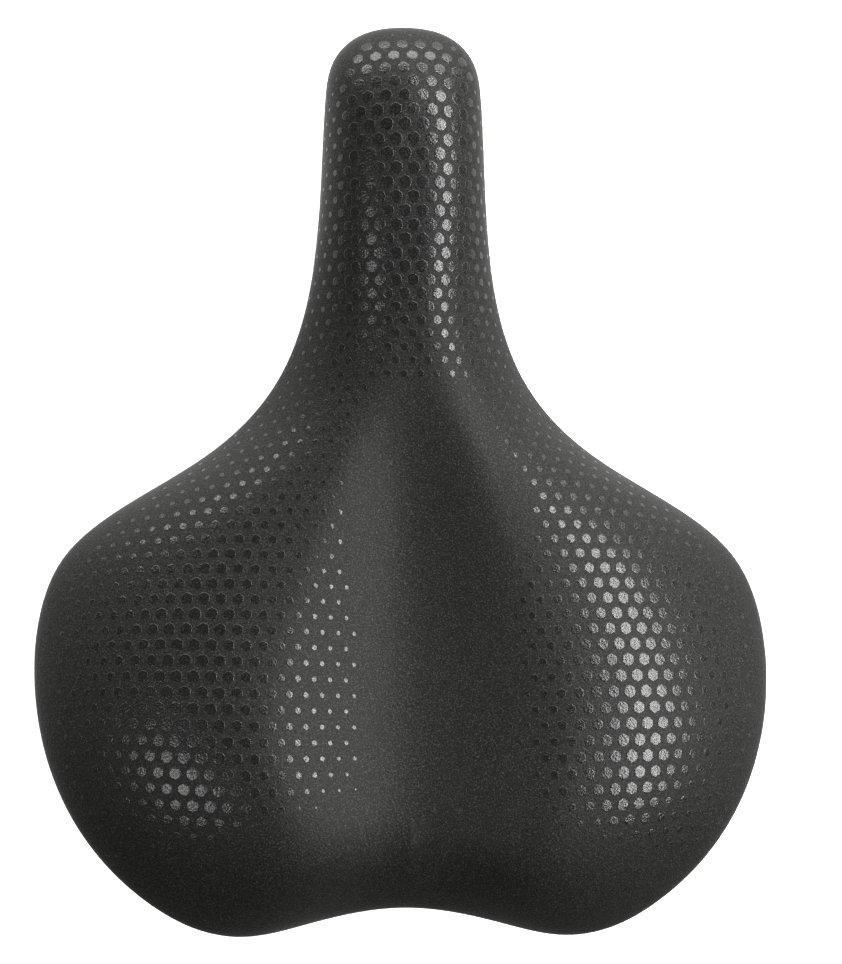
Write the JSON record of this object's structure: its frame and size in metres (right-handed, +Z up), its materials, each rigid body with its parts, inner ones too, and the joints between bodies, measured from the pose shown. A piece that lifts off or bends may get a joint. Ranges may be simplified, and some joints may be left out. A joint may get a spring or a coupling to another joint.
{
  "type": "bicycle saddle",
  "caption": "Wide sprung comfort saddle: padded, dotted black cover on a moulded base that rocks on a wire rail and rubber rear blocks.",
  "frame": {"origin": "seat post clamp point: midway between the two straight rail stretches, at the rail centres' height, at the middle of their length", "axes": "+Y towards the nose, +Z up, +X to the rider's right"},
  "size_m": [0.2094, 0.258, 0.0849],
  "materials": {
    "cover_leatherette": "black grained leatherette with rows of raised glossier dots",
    "foam": "moulded polyurethane foam, matte, pale",
    "gel": "soft translucent blue gel, satin",
    "base_plastic": "moulded black polypropylene, fine spark-eroded texture",
    "clip_plastic": "moulded dark grey nylon, satin",
    "bush_rubber": "black rubber, matte",
    "elastomer": "dark grey urethane elastomer, satin",
    "rail_steel": "bent steel wire, satin plated",
    "bridge_steel": "pressed steel, satin black powder coat",
    "cup_steel": "pressed steel, black e-coat",
    "zinc_steel": "bright zinc-plated steel",
    "staple_steel": "galvanised staple wire"
  },
  "bodies": {
    "rail_frame": {"rail_wire": "rail_steel", "rear_bridge": "bridge_steel", "rail_strap_left": "bridge_steel", "rail_strap_right": "bridge_steel", "bridge_rivets": "zinc_steel", "lower_cup_left": "cup_steel", "lower_cup_right": "cup_steel", "lower_studs": "zinc_steel", "stud_washers": "zinc_steel", "stud_nuts": "zinc_steel", "elastomer_left": "elastomer", "elastomer_right": "elastomer"},
    "nose_bearing": {"nose_bush": "bush_rubber"},
    "seat": {"base_shell": "base_plastic", "foam_pad": "foam", "gel_pad_left": "gel", "gel_pad_right": "gel", "cover": "cover_leatherette", "cover_staples": "staple_steel", "nose_cap": "base_plastic", "nose_cap_screws": "zinc_steel", "upper_cup_left": "cup_steel", "upper_cup_right": "cup_steel", "upper_studs": "zinc_steel", "rear_clip": "clip_plastic", "rear_clip_screws": "zinc_steel"}
  },
  "joints": [
    {"name": "seat_bounce", "type": "hinge", "parent": "rail_frame", "child": "nose_bearing", "pos_m": [0, 0.104, 0.028], "axis": [1, 0, 0], "range_deg": [0, 3], "stiffness_Nm_per_rad": 1600, "deforming": ["elastomer_left", "elastomer_right"]},
    {"name": "seat_rock", "type": "hinge", "parent": "nose_bearing", "child": "seat", "pos_m": [0, 0.104, 0.028], "axis": [0, 1, 0], "range_deg": [-1.5, 1.5], "stiffness_Nm_per_rad": 300, "deforming": ["elastomer_left", "elastomer_right"]}
  ]
}
